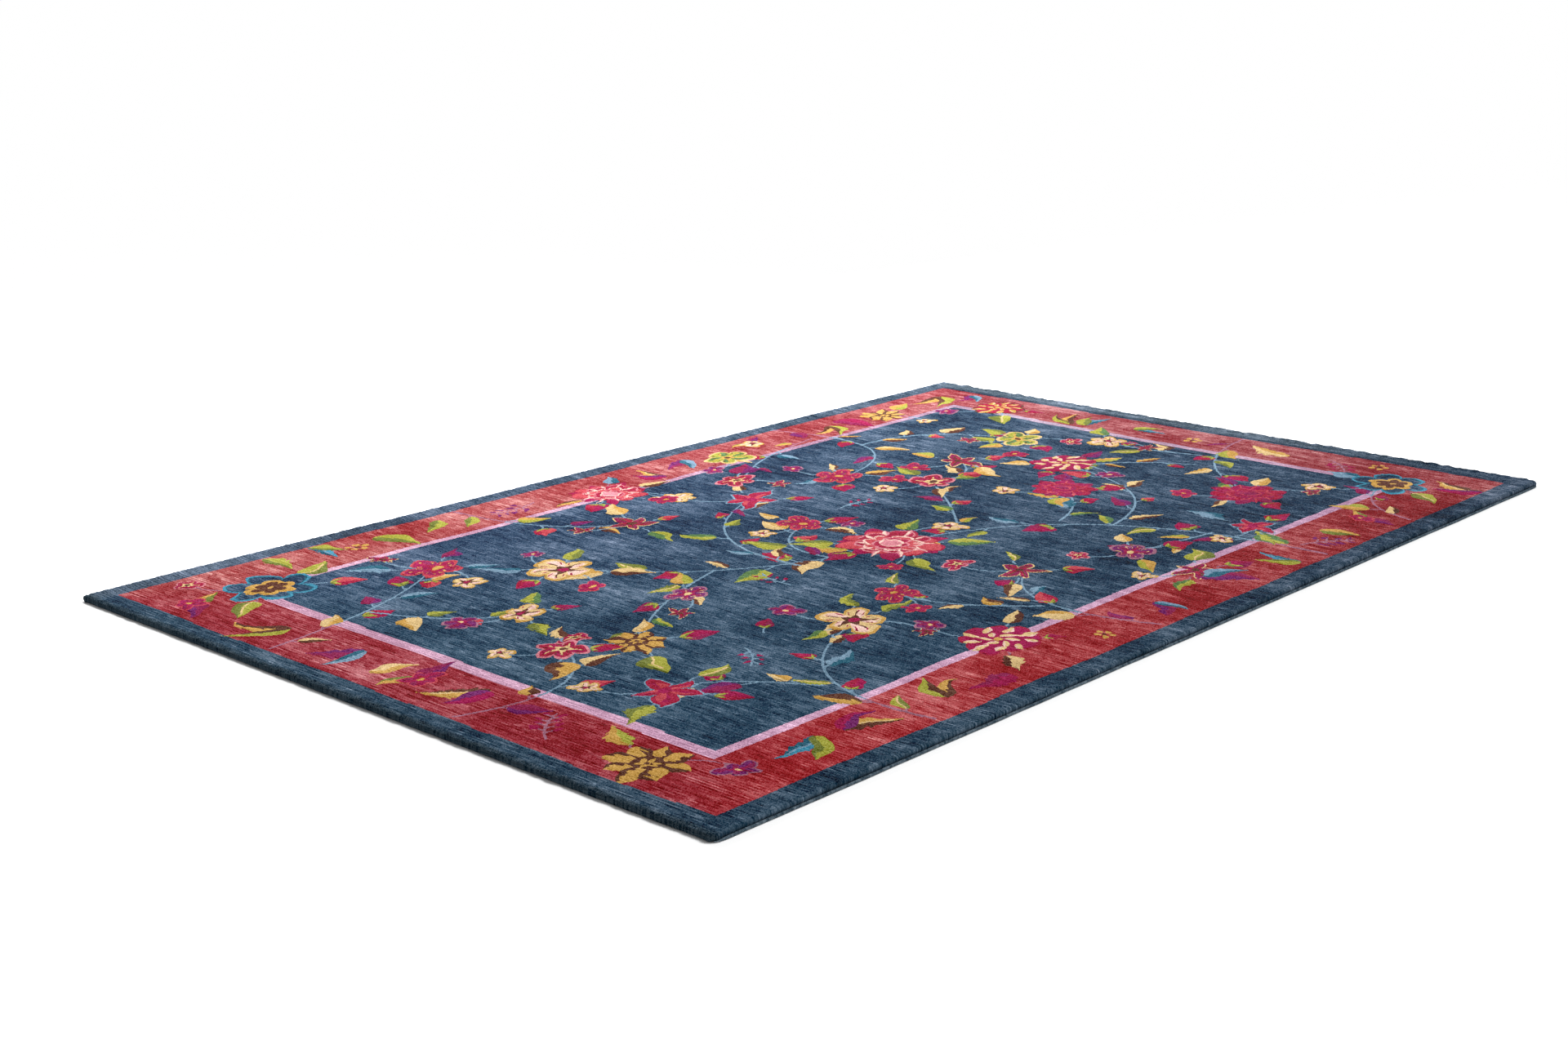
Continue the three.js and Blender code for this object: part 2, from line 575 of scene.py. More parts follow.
def rosette(chart, x, y, radius, turn, yarns, squash=0.92):
    """A large dark flower with a bright outline and a ring round its heart."""
    outline, edging, petal, ring, heart = yarns
    patch, r, theta = polar(chart, x, y, 1.35 * radius, turn, squash)
    edge = radius * lobes(theta, 6, 0.36, 0.6) * uneven(theta, 6, 5, 0.10)
    chart.knot(patch, r < edge, outline)
    chart.knot(patch, r < edge - 0.09 * radius, edging)
    chart.knot(patch, r < edge - (0.15 + 0.03 * chart.jitter[patch[0]]) * radius, petal)
    inner = radius * 0.56 * lobes(theta + 0.25, 6, 0.34, 0.6)
    chart.knot(patch, r < inner, ring)
    chart.knot(patch, r < inner - 0.16 * radius, heart)
    disc(chart, x, y, 0.07 * radius, ring)


def bud(chart, x, y, angle, length, yarns=("magenta", "crimson")):
    """A closed flower with two green sepals at its foot."""
    leaf(chart, x, y, angle, length, yarns, width=0.74, bend=0.0)
    for side in (-0.7, 0.7):
        leaf(chart, x, y, angle + side, 0.42 * length, ("lime", "olive"), width=0.4, bend=0)


def berries(chart, x, y, size, yarn="ochre", count=5):
    for number in range(count):
        angle = number * tau / count
        disc(chart, *away(x, y, angle, size), 0.46 * size, yarn)
    disc(chart, x, y, 0.36 * size, "brown")


def sprig(chart, x, y, angle, length, tip="purple", pairs=4):
    """A thin stem with short side stalks, each with a small leaf."""
    points = twig(chart, (x, y), away(x, y, angle + 0.35, 0.5 * length), away(x, y, angle, length))
    for number in range(2 * pairs):
        root = points[int((0.25 + 0.72 * number / (2 * pairs)) * (len(points) - 1))]
        side = angle + (0.95 if number % 2 else -0.95)
        reach = 0.30 * length * (1 - 0.3 * number / (2 * pairs))
        twig(chart, root, away(*root, side, 0.3 * reach), away(*root, side, 0.6 * reach))
        leaf(chart, *away(*root, side, 0.45 * reach), side, 0.7 * reach, (tip, tip), width=0.5, bend=0)


LEAVES = (
    ("lime", "olive"), ("lime", "green"), ("ochre", "brown"), ("lime", "olive", "cream"), ("cream", "brown"),
    ("cream", "brown"), ("plum", "purple"), ("cream", "ochre"), ("sky", "teal"), ("ochre", "lime"),
)
BUDS = (("magenta", "crimson"), ("magenta", "plum"), ("crimson", "magenta"), ("coral", "crimson"))

# each kind of flower: how it is drawn, and its yarns from the outside in
FLOWERS = {
    "peony": (peony, ("magenta", "crimson", "coral", "pink", "blush")),
    "rose": (peony, ("plum", "magenta", "crimson", "plum", "coral")),
    "cream": (blossom, ("ochre", "cream", "blush", "brown", "magenta")),
    "pink": (blossom, ("pink", "crimson", "magenta", "cream", "brown")),
    "magenta": (blossom, ("coral", "magenta", "plum", "crimson", "ochre")),
    "violet": (blossom, ("mauve", "purple", "plum", "magenta", "cream")),
    "lotus": (blossom, ("cream", "lime", "green", "ochre", "brown")),
    "aster": (chrysanthemum, ("crimson", "magenta", "cream", "blush")),
    "gold": (chrysanthemum, ("brown", "crimson", "ochre", "cream")),
    "lily": (lily, ("sky", "crimson", "coral", "magenta")),
    "star": (lily, ("cream", "plum", "crimson", "brown")),
    "sun": (daisy, ("ochre", "brown", "brown")),
    "rosette": (rosette, ("turquoise", "teal", "navy", "ochre", "brown")),
}
SMALL_FLOWERS = ("cream", "pink", "magenta", "star", "violet", "cream")

BRANCHES = [Branch(*row) for row in (
    ((0.56, -0.92), (0.58, -0.20), (-0.04, -0.10), 10, 0.095),
    ((-0.04, -0.10), (-0.44, -0.06), (-0.66, 0.30), 8, 0.090),
    ((0.46, -0.40), (0.80, -0.34), (0.86, 0.02), 7, 0.085),
    ((-0.30, -0.06), (-0.32, 0.28), (0.00, 0.42), 7, 0.085),
    ((-0.46, 0.06), (-0.74, -0.02), (-0.88, -0.16), 5, 0.080),
    ((0.18, -0.14), (0.34, 0.00), (0.46, 0.16), 5, 0.080),
    ((0.66, 0.94), (0.82, 0.50), (0.42, 0.42), 7, 0.085),
    ((0.70, 0.62), (0.98, 0.62), (1.02, 0.36), 6, 0.080),
    ((0.66, 0.78), (0.36, 0.74), (0.20, 0.60), 5, 0.075),
    ((-1.44, 0.36), (-1.10, 0.40), (-0.90, 0.54), 7, 0.085),
    ((-1.16, 0.41), (-1.08, 0.20), (-0.98, 0.16), 4, 0.075),
    ((-0.86, -0.92), (-0.92, -0.56), (-0.56, -0.44), 8, 0.088),
    ((-0.86, -0.64), (-0.94, -0.48), (-1.04, -0.44), 4, 0.080),
    ((-0.12, -0.92), (-0.24, -0.62), (-0.04, -0.50), 6, 0.080),
    ((-0.18, -0.66), (-0.32, -0.52), (-0.32, -0.40), 3, 0.075),
    ((1.44, -0.16), (1.12, -0.18), (0.96, -0.44), 7, 0.085),
    ((1.20, -0.18), (1.14, 0.00), (1.16, 0.08), 3, 0.075),
    ((-1.44, -0.24), (-1.18, -0.34), (-1.06, -0.14), 5, 0.080),
    ((-0.52, 0.94), (-0.50, 0.62), (-0.34, 0.52), 5, 0.080),
    ((0.96, -0.92), (1.00, -0.76), (1.16, -0.72), 4, 0.075),
    ((0.40, -0.28), (0.56, -0.24), (0.64, -0.12), 4, 0.085),
    ((0.50, 0.18), (0.62, 0.16), (0.70, 0.26), 3, 0.085),
    ((0.55, -0.62), (0.42, -0.60), (0.32, -0.58), 3, 0.085),
    ((-0.20, -0.08), (-0.24, 0.10), (-0.06, 0.16), 4, 0.085),
    ((0.86, 0.02), (1.02, -0.04), (1.10, -0.22), 3, 0.080),
)]

BLOOMS = [Bloom(*row) for row in (
    ("peony", -0.02, -0.10, 0.128, 0.3, 4),
    ("cream", -0.68, 0.33, 0.092, 0.1, 3),
    ("aster", 0.88, 0.06, 0.092, 0.0, 3),
    ("lily", 0.05, 0.44, 0.100, 0.2, 2),
    ("sun", -0.92, -0.18, 0.076, 0.4, 2),
    ("pink", 0.50, 0.20, 0.072, 0.7, 2),
    ("magenta", 0.38, 0.43, 0.078, 0.5, 3),
    ("lotus", 1.03, 0.32, 0.082, 0.9, 3),
    ("pink", 0.17, 0.60, 0.060, 0.2, 1),
    ("magenta", -0.86, 0.56, 0.084, 0.3, 3),
    ("cream", -0.95, 0.15, 0.060, 0.5, 2),
    ("cream", -0.52, -0.42, 0.088, 0.6, 3),
    ("lily", -1.08, -0.44, 0.092, 0.1, 2),
    ("star", 0.00, -0.47, 0.076, 0.3, 2),
    ("magenta", -0.32, -0.36, 0.060, 0.3, 1),
    ("rose", 0.92, -0.49, 0.098, 0.8, 3),
    ("cream", 1.17, 0.12, 0.062, 0.4, 1),
    ("pink", -1.05, -0.10, 0.064, 0.4, 2),
    ("star", -0.30, 0.50, 0.074, 0.4, 2),
    ("rosette", -1.20, 0.72, 0.112, 0.2, 2),
    ("aster", -0.42, -0.73, 0.094, 0.1, 2),
    ("peony", -0.14, 0.76, 0.100, 0.5, 3),
    ("rosette", 1.24, -0.72, 0.106, 0.6, 2),
    ("gold", 1.32, 0.62, 0.088, 0.1, 2),
    ("sun", -1.36, -0.68, 0.094, 0.3, 1),
    ("star", 0.26, -0.76, 0.074, 0.3, 2),
    ("lotus", 0.34, 0.80, 0.074, 0.3, 1),
    ("sun", 1.02, 0.82, 0.076, 0.1, 1),
    ("rose", 0.66, -0.10, 0.088, 0.5, 2),
    ("star", 0.72, 0.29, 0.080, 1.0, 2),
    ("violet", 0.29, -0.57, 0.070, 0.3, 2),
    ("magenta", -0.03, 0.18, 0.066, 0.9, 2),
    ("lily", 0.66, -0.66, 0.084, 0.8, 2),
    ("violet", -0.62, -0.02, 0.058, 0.2, 1),
)]


def near_rim(chart, depth):
    """True for knots that lie nearer than depth to an edge of the rug."""
    x, y = np.abs(chart.x)[:, None], np.abs(chart.y)[None, :]
    return (x > HALF_LENGTH - depth) | (y > HALF_WIDTH - depth)


def inwards(x, y, angle, reach):
    """The angle, turned round where a motif set off that way would run into the outer band."""
    tip_x, tip_y = away(x, y, angle, reach)
    is_inside = abs(tip_x) < HALF_LENGTH - CLEAR_BAND and abs(tip_y) < HALF_WIDTH - CLEAR_BAND
    return angle if is_inside else angle + pi


def leaf_on_stalk(chart, root, angle, length, rng, is_bud):
    """A leaf or a bud, on a short stalk from a root on a branch."""
    angle = inwards(*root, angle, 1.4 * length)
    foot = away(*root, angle, (0.15 + 0.25 * rng.random()) * length)
    twig(chart, root, away(*root, angle + 0.3, 0.2 * length), foot)
    if is_bud:
        bud(chart, *foot, angle, 0.8 * length, BUDS[rng.integers(len(BUDS))])
        return
    yarns = LEAVES[rng.integers(len(LEAVES))]
    teeth = LEAF_TEETH if rng.random() < NOTCHED_SHARE else 0
    leaf(chart, *foot, angle, length, yarns, rng.uniform(*LEAF_WIDTHS), rng.uniform(*LEAF_BENDS), teeth)


def spray(chart, branch, rng):
    """A bough with leaves and buds to both sides of it."""
    points = twig(chart, branch.start, branch.pull, branch.end, thick=0.0068, thin=0.0048)
    for number in range(branch.leaves):
        share = (number + 0.5 + 0.6 * rng.random()) / (branch.leaves + 0.6)
        at = min(int(share * (len(points) - 1)), len(points) - 2)
        ahead = points[at + 1] - points[at]
        side = 1 if number % 2 else -1
        angle = np.arctan2(ahead[1], ahead[0]) + side * rng.uniform(*LEAF_SPREAD)
        length = branch.leaf * rng.uniform(*LEAF_SIZES)
        leaf_on_stalk(chart, points[at], angle, length, rng, is_bud=number % 3 == 2)


def companion(chart, flower, angle, rng):
    """A small flower on a thin twig of its own, beside a large one."""
    reach = flower.radius + rng.uniform(*COMPANION_GAPS)
    angle = inwards(flower.x, flower.y, angle, reach + COMPANION_ROOM)
    x, y = away(flower.x, flower.y, angle, reach)
    twig(chart, (flower.x, flower.y), away(flower.x, flower.y, angle + 0.5, 0.7 * reach), (x, y))
    draw, yarns = FLOWERS[SMALL_FLOWERS[rng.integers(len(SMALL_FLOWERS))]]
    draw(chart, x, y, rng.uniform(*COMPANION_SIZES), rng.uniform(0, tau), yarns)


def bloom(chart, flower, rng):
    """A flower, with leaves standing out from behind it and smaller flowers beside it."""
    draw, yarns = FLOWERS[flower.kind]
    for number in range(2 * flower.collar):
        angle = flower.turn + tau * (number + 0.6 * rng.random()) / (2 * flower.collar)
        if number % 3 == 1:
            companion(chart, flower, angle, rng)
            continue
        root = away(flower.x, flower.y, angle, 0.75 * flower.radius)
        leaf_on_stalk(chart, root, angle, rng.uniform(*COLLAR_LEAVES), rng, is_bud=number % 5 == 3)
    draw(chart, flower.x, flower.y, flower.radius, flower.turn, yarns)


LOOSE_LEAVES = (
    ("ochre", "brown"), ("plum", "purple"), ("cream", "ochre"), ("magenta", "plum"), ("lime", "olive"),
    ("ochre", "olive"), ("cream", "brown"),
)


def loose_leaf(chart, x, y, angle, size, rng, teeth=0):
    yarns = LOOSE_LEAVES[rng.integers(len(LOOSE_LEAVES))]
    leaf(chart, x, y, angle, size, yarns, width=0.48, bend=0.1, teeth=teeth)


def two_leaves(chart, x, y, angle, size, rng, leaves):
    """Two leaves from one foot: the turn and size of each, then its yarns, width, bend and teeth."""
    for turn, share, *form in leaves:
        leaf(chart, x, y, angle + turn, share * size, *form)


def small_flower(chart, x, y, angle, size, rng):
    draw, yarns = FLOWERS[SMALL_FLOWERS[rng.integers(len(SMALL_FLOWERS))]]
    heart = away(x, y, angle, 0.5 * size)
    leaf(chart, *heart, angle + 0.3, 0.8 * size, ("plum", "purple"), width=0.44, bend=0.1)
    leaf(chart, *heart, angle + 2.7, 0.7 * size, ("ochre", "olive"), width=0.44, bend=-0.1)
    draw(chart, *heart, 0.33 * size, angle, yarns)


def loose_sprig(chart, x, y, angle, size, rng):
    sprig(chart, x, y, angle, 1.15 * size, ("purple", "magenta")[rng.integers(2)])


def loose_berries(chart, x, y, angle, size, rng):
    berries(chart, *away(x, y, angle, 0.5 * size), size=0.019)


BLUE_FEATHER = (
    (0, 1, ("turquoise", "teal", "sky"), 0.38, 0.1, 6),
    (0.55, 0.9, ("lime", "olive"), 0.40, 0.1),
)
GOLD_FEATHER = (
    (0, 1, ("ochre", "brown", "cream"), 0.40, 0.1, 6),
    (0.6, 0.8, ("magenta", "purple"), 0.42, 0.1),
)
VIOLET_PAIR = ((0, 0.9, ("plum", "purple"), 0.50, 0.1, 4), (0.7, 0.8, ("sky", "teal"), 0.42, 0.1))
GOLD_PAIR = ((0, 1, ("ochre", "brown"), 0.32, 0.14), (0.6, 1, ("lime", "brown"), 0.32, 0.14))
LOOSE_MOTIFS = (
    partial(two_leaves, leaves=BLUE_FEATHER),
    partial(two_leaves, leaves=GOLD_PAIR),
    partial(two_leaves, leaves=VIOLET_PAIR),
    loose_leaf,
    small_flower,
    partial(two_leaves, leaves=GOLD_FEATHER),
    loose_sprig,
    partial(loose_leaf, teeth=LEAF_TEETH),
    loose_berries,
)


def along_border(share):
    """A place on the middle line of the red border, share of the way round it."""
    half_x, half_y = BORDER_LINE
    far = 4 * (half_x + half_y) * (share % 1)
    if far < 2 * half_x:
        return far - half_x, -half_y
    if far < 2 * (half_x + half_y):
        return half_x, far - 2 * half_x - half_y
    if far < 4 * half_x + 2 * half_y:
        return 3 * half_x + 2 * half_y - far, half_y
    return -half_x, 4 * half_x + 3 * half_y - far


def scatter_border(chart, rng, rounds=8, places=90, clear=0.060):
    """Loose motifs, kind after kind, wherever the red border is still bare."""
    placed = 0
    for place in range(rounds * places):
        x, y = along_border((place + rng.random()) / places)
        x, y = x + rng.uniform(-LOOSE_STRAY, LOOSE_STRAY), y + rng.uniform(-LOOSE_STRAY, LOOSE_STRAY)
        if chart.free(x, y, clear, "red"):
            angle = rng.uniform(0, tau)
            size = rng.uniform(*LOOSE_SIZES)
            motif = LOOSE_MOTIFS[placed % len(LOOSE_MOTIFS)]
            motif(chart, *away(x, y, angle, -0.5 * size), angle, size, rng)
            placed += 1


def scatter_field(chart, rng, tries=160, clear=0.075):
    """A few loose berries, buds and sprigs in the open field."""
    reach_x, reach_y = OPEN_FIELD
    for _ in range(tries):
        x, y = rng.uniform(-reach_x, reach_x), rng.uniform(-reach_y, reach_y)
        if chart.free(x, y, clear, "navy") and rng.random() < 0.5:
            angle = rng.uniform(0, tau)
            kind = rng.integers(3)
            if kind == 0:
                sprig(chart, x, y, angle, length=0.11, tip="magenta", pairs=3)
            elif kind == 1:
                berries(chart, x, y, size=0.017, yarn="lime", count=6)
            else:
                leaf_on_stalk(chart, (x, y), angle, length=0.08, rng=rng, is_bud=True)


def bare_rim(chart):
    """No motif runs on into the rug's very edge."""
    rim = near_rim(chart, BARE_RIM)
    chart.yarn[rim] = chart.ground[rim]


def weave(rng):
    """The whole chart: bands, boughs, flowers and loose motifs, one over the other."""
    chart = Chart(rng)
    lay_bands(chart, rng)
    for branch in BRANCHES:
        spray(chart, branch, rng)
    for flower in BLOOMS:
        bloom(chart, flower, rng)
    scatter_border(chart, rng)
    scatter_field(chart, rng)
    bare_rim(chart)
    return chart


def on_pile(a, b, lift, sag):
    """Where a point of the unrolled pile lies: a and b along X and Y, lift above the mean crest."""
    core_a = np.clip(a, -CORE_LENGTH, CORE_LENGTH)
    core_b = np.clip(b, -CORE_WIDTH, CORE_WIDTH)
    past_a, past_b = a - core_a, b - core_b
    past = np.hypot(past_a, past_b)
    run = np.maximum(past - CORNER_FLAT, 0)
    tilt = np.interp(run, EDGE_RUN, EDGE_TILT)
    out = np.minimum(past, CORNER_FLAT) + np.interp(run, EDGE_RUN, EDGE_OUT) + lift * np.sin(tilt)
    up = np.interp(run, EDGE_RUN, EDGE_UP) + lift * np.cos(tilt)
    towards = np.maximum(past, 1e-9)
    x = core_a + past_a / towards * out
    y = core_b + past_b / towards * out
    z = PILE_TOP + up + sag * (1 - run / EDGE_RUN[-1])
    return np.stack((x, y, z), axis=-1)


def pile_heights(chart, rng):
    """Crest heights of every row and valley heights between rows, at every cut between knots.

    Motifs stand a little proud of the ground, packed closer, with a carved groove around them.
    """
    rows, knots = chart.yarn.shape
    raised = np.pad((chart.yarn >= GROUNDS).astype(float), ((0, 0), (1, 1)), mode="edge")
    raised = (raised[:, 1:] + raised[:, :-1]) / 2
    changes = np.pad(np.diff(chart.yarn.astype(int), axis=1) != 0, ((0, 0), (1, 1)))
    crest = MOTIF_RELIEF * raised - CARVED_DEPTH * changes
    crest += CREST_LUMPS * row_noise(rng, rows, knots + 1, CREST_SPACING)
    crest += edge_lumps(chart, rng)
    crest += ROW_STEPS * rng.standard_normal((rows, 1))
    depth = np.full((rows + 1, 1), VALLEY_DEPTH)
    depth[::2] += LINE_DEPTH
    depth = depth * (1 + DEPTH_SPREAD * row_noise(rng, rows + 1, knots + 1, DEPTH_SPACING))
    depth = depth * (1 - PACKED_SHARE * row_pairs(raised, np.minimum))
    depth = depth * (1 - SIDE_PACKED * smooth_step(np.abs(chart.cut_y) - FLAT_WIDTH, *SIDE_PACKING))
    return crest, row_pairs(crest, np.minimum) - depth


def edge_bend(past):
    """1 where the pile starts to bend over an edge, 0 a little way inside it and at its foot."""
    low, high = (share * EDGE_RUN[-1] for share in BEND_FADE)
    return smooth_step(past, -LUMPY_WIDTH, 0) * (1 - smooth_step(past, low, high))


def near_edges(x, y, side_share):
    """1 on the bend of the two ends, side_share on that of the long sides, 0 on the flat and at the foot."""
    past_x, past_y = np.abs(x)[:, None] - FLAT_LENGTH, np.abs(y)[None, :] - FLAT_WIDTH
    return np.maximum(edge_bend(past_x), side_share * edge_bend(past_y))


def edge_lumps(chart, rng):
    """The edges stand a little higher and are lumpy, where tufts bend over and stand apart."""
    x, y = chart.x[:, None], chart.cut_y[None, :]
    lumps = ripple(x, y, rng, *EDGE_LUMPS, EDGE_WAVES)
    far = smooth_step(np.maximum(x - CORE_LENGTH, y - CORE_WIDTH), -FAR_REACH, 0)
    rise = EDGE_RISE + (FAR_RISE - EDGE_RISE) * far
    return rise * near_edges(chart.x, chart.cut_y, 1) + lumps * near_edges(chart.x, chart.cut_y, SIDE_LUMPS)


def row_pairs(values, choose):
    """A value for each valley, chosen from the rows on its two sides."""
    padded = np.pad(values, ((1, 1), (0, 0)), mode="edge")
    return choose(padded[1:], padded[:-1])


def streaks(chart, rng):
    """How much lighter or darker the wool of each knot is: clouds, balls of yarn, lines and short dashes."""
    rows, knots = chart.yarn.shape
    x, y = chart.x[:, None], chart.y[None, :]
    balls = np.repeat(row_noise(rng, rows // BALL_ROWS + 1, knots, BALL_SPACING), BALL_ROWS, axis=0)[:rows]
    clouds = sum(ripple(x, y, rng, *cloud, CLOUD_WAVES) for cloud in CLOUDS)
    fine = sum(FINE_STREAK * row_noise(rng, rows, knots, spacing) for spacing in FINE_SPACINGS)
    dashes = DASH_STREAK * np.clip(row_noise(rng, rows, knots, DASH_SPACING) - DASH_START, 0, 1)
    line = np.where(np.arange(rows) % 2, *LINE_STREAKS)[:, None]
    mottled = ripple(x, y, rng, *MOTTLED_EDGE, EDGE_WAVES) * near_edges(chart.x, chart.y, SIDE_LUMPS)
    own = ROW_STREAK * rng.standard_normal((rows, 1))
    return BALL_STREAK * balls + clouds + fine + dashes + line + own + mottled


def lit_share(run, fade, least):
    """How light the pile is: least near its foot, and 1 past the end of the fade."""
    return least + (1 - least) * smooth_step(run, *fade)


def edge_shade(chart, rng):
    """Painted shade on pile bent over an edge: over the whole bend at the near end, only low down elsewhere.
    """
    x, y = chart.x[:, None], chart.y[None, :]
    drift = SHADE_DRIFT * row_noise(rng, *chart.yarn.shape, SHADE_SPACING)
    near_end = lit_share(x + ROLLED_LENGTH / 2 + drift, *NEAR_END_SHADE)
    far_end = lit_share(ROLLED_LENGTH / 2 - x, *FAR_END_SHADE)
    far_side = lit_share(ROLLED_WIDTH / 2 - y, *FAR_SIDE_SHADE)
    return near_end * far_end * far_side


def lots_and_painted_light(chart, yarn):
    """How a ground yarn differs from place to place, drifting along each side: partly dye lots, partly
    painted light, shade and sheen.
    """
    x, y = chart.x[:, None], chart.y[None, :]
    along = {"x": smooth_step(y, -HALF_WIDTH, HALF_WIDTH), "y": smooth_step(x, -HALF_LENGTH, HALF_LENGTH)}
    total, weight = 0, 0
    for side, depth in side_depths(x, y).items():
        first, last = np.array(LOTS_AND_PAINTED_LIGHT[yarn][side])
        nearness = 1 / (np.maximum(depth, 0) + LOT_AND_LIGHT_BLEND) ** LOT_AND_LIGHT_POWER
        total = total + nearness[..., None] * (first + along[side[1]][..., None] * (last - first))
        weight = weight + nearness
    return total / weight[..., None] * (chart.yarn == YARN_NUMBER[yarn])[..., None]


def outer_band(chart):
    """True on the navy band outside the red border."""
    return near_rim(chart, INSIDE_BORDER) & (chart.ground == YARN_NUMBER["navy"])


def painted_edge_sheen(chart):
    """Painted sheen, as of light caught by loose fibres, over the bend of the near long side and along the
    two far bands.
    """
    near_side = smooth_step(-chart.y - FLAT_WIDTH, *SIDE_SHEEN_FADE)[None, :, None]
    far_end = 1 - smooth_step(HALF_LENGTH - chart.x, *FAR_SHEEN_FADE)[:, None]
    far_end = far_end * np.interp(chart.y, *FAR_END_SHEEN)[None, :]
    far_side = 1 - smooth_step(HALF_WIDTH - chart.y, *FAR_SHEEN_FADE)[None, :]
    far_side = far_side * np.interp(chart.x, *FAR_SIDE_SHEEN)[:, None]
    far_bands = np.maximum(far_end, far_side) * (chart.yarn == YARN_NUMBER["navy"])
    return near_side * np.array(SIDE_SHEEN_PAINT) + far_bands[..., None] * np.array(FAR_SHEEN_PAINT)


def yarn_colours(chart, streak, shade):
    """The colour of every knot: its yarn, made paler or darker by its streak, with dye lots and painted
    light, painted sheen, and painted shade that fades to a dull dark on the bent edges.
    """
    yarns = np.array(list(YARNS.values()), float)
    swing = np.array([SWING.get(name, SWING["motif"]) for name in YARNS], float)
    streak = streak[..., None]
    streak = np.where(streak < 0, DARK_SWING * streak, streak)
    heathered = yarns[chart.yarn] + streak * swing[chart.yarn]
    # partly dye lots, partly painted light, shade and sheen
    heathered += sum(lots_and_painted_light(chart, yarn) for yarn in LOTS_AND_PAINTED_LIGHT)
    heathered += outer_band(chart)[..., None] * OUTER_LOT
    # painted sheen along the near long side's bend and the far bands
    lit = linear(np.clip(heathered, *COLOUR_RANGE)) + painted_edge_sheen(chart)
    # painted shade: the lit colour fades into the dull dark on the bent edges
    return shade[..., None] * lit + (1 - shade[..., None]) * linear(EDGE_SHADE_COLOUR)


def yarn_changes(chart, row):
    return np.flatnonzero(np.diff(chart.yarn[row].astype(int))) + 1


def row_cuts(chart, row, strip_cuts):
    """Where the pile of a row is cut: at each change of yarn, at the rolled ends and between."""
    knots = chart.yarn.shape[1]
    past = max(0.0, abs(chart.x[row]) - CORE_LENGTH)
    reach = CORE_WIDTH + np.sqrt(max((CORNER_FLAT + EDGE_RUN[-1]) ** 2 - past**2, 0))
    first = max(int(np.ceil((ROLLED_WIDTH / 2 - reach) / KNOT_PITCH)), 0)
    last = knots - first
    # the bend is cut at every second knot, up to just past its top
    edge = np.arange(0, round((ROLLED_WIDTH / 2 - FLAT_WIDTH) / KNOT_PITCH) + 3, 2)
    cuts = np.concatenate((yarn_changes(chart, row), strip_cuts, edge, knots - edge, (first, last)))
    cuts = np.unique(cuts[(cuts >= first) & (cuts <= last)])
    at_end = abs(chart.x[row]) > FLAT_LENGTH - LUMPY_WIDTH
    longest = round((SHORT_TUFT_RUN if at_end else LONGEST_TUFT_RUN) / KNOT_PITCH)
    # every second row starts with a half step, so that no seam runs across the rows, and no piece is short
    between = [
        np.arange(low + longest * (1 - 0.5 * (row % 2)), high - longest / 3, longest).astype(int)
        for low, high in zip(cuts[:-1], cuts[1:])
        if high - low > longest
    ]
    return np.unique(np.concatenate((cuts, *between)))


def outline_slants(chart):
    """How far a row's yarn changes lean towards those in the rows before and after it, in knots.

    The lean joins the outlines of a motif from row to row, and draws its narrow ends to a point.
    """
    rows, knots = chart.yarn.shape
    slants = np.zeros((2, rows, knots + 1))
    for row in range(rows - 1):
        here, there = yarn_changes(chart, row), yarn_changes(chart, row + 1)
        match_changes(chart, row, here, there, slants)
        close_tips(row, here, there, slants[1])
        close_tips(row + 1, there, here, slants[0])
    return slants


def match_changes(chart, row, here, there, slants):
    """Leans each change of yarn halfway to the nearest like change in the next row."""
    yarn = chart.yarn.astype(int)
    code_here = yarn[row, here - 1] * len(YARNS) + yarn[row, here]
    code_there = yarn[row + 1, there - 1] * len(YARNS) + yarn[row + 1, there]
    gap = there[None, :] - here[:, None]
    cost = np.abs(gap) + UNLIKE_YARNS * (code_here[:, None] != code_there[None, :])
    if not cost.size:
        return
    nearest, back = cost.argmin(axis=1), cost.argmin(axis=0)
    for k, other in enumerate(nearest):
        if back[other] == k and cost[k, other] <= 2 * LONGEST_LEAN:
            slants[1, row, here[k]] = gap[k, other] / 2
            slants[0, row + 1, there[other]] = -gap[k, other] / 2


def close_tips(row, here, there, slant):
    """Draws the end of a narrow run that the neighbouring row lacks to a point."""
    for first, last in zip(here[:-1], here[1:]):
        width = last - first
        if width > 2 * LONGEST_LEAN or slant[row, first] or slant[row, last]:
            continue
        if not ((there >= first) & (there <= last)).any():
            slant[row, first] = TIP_LEAN * width
            slant[row, last] = -TIP_LEAN * width


def in_order(places, row_starts):
    """Keeps the cuts of each row apart and in order after they lean."""
    for first, last in row_starts:
        steps = LEAST_STEP * np.arange(last - first)
        places[first:last] = np.maximum.accumulate(places[first:last] - steps) + steps
    return places


def sections_in(cuts, low, high):
    """The cuts of all rows within a strip: their rows, their places and where each row starts and ends."""
    rows, places, starts = [], [], []
    count = 0
    for row, row_places in enumerate(cuts):
        inside = row_places[(row_places >= low) & (row_places <= high)]
        if len(inside) > 1:
            rows.append(np.full(len(inside), row))
            places.append(inside)
            starts.append((count, count + len(inside)))
            count += len(inside)
    return np.concatenate(rows), np.concatenate(places), np.array(starts)


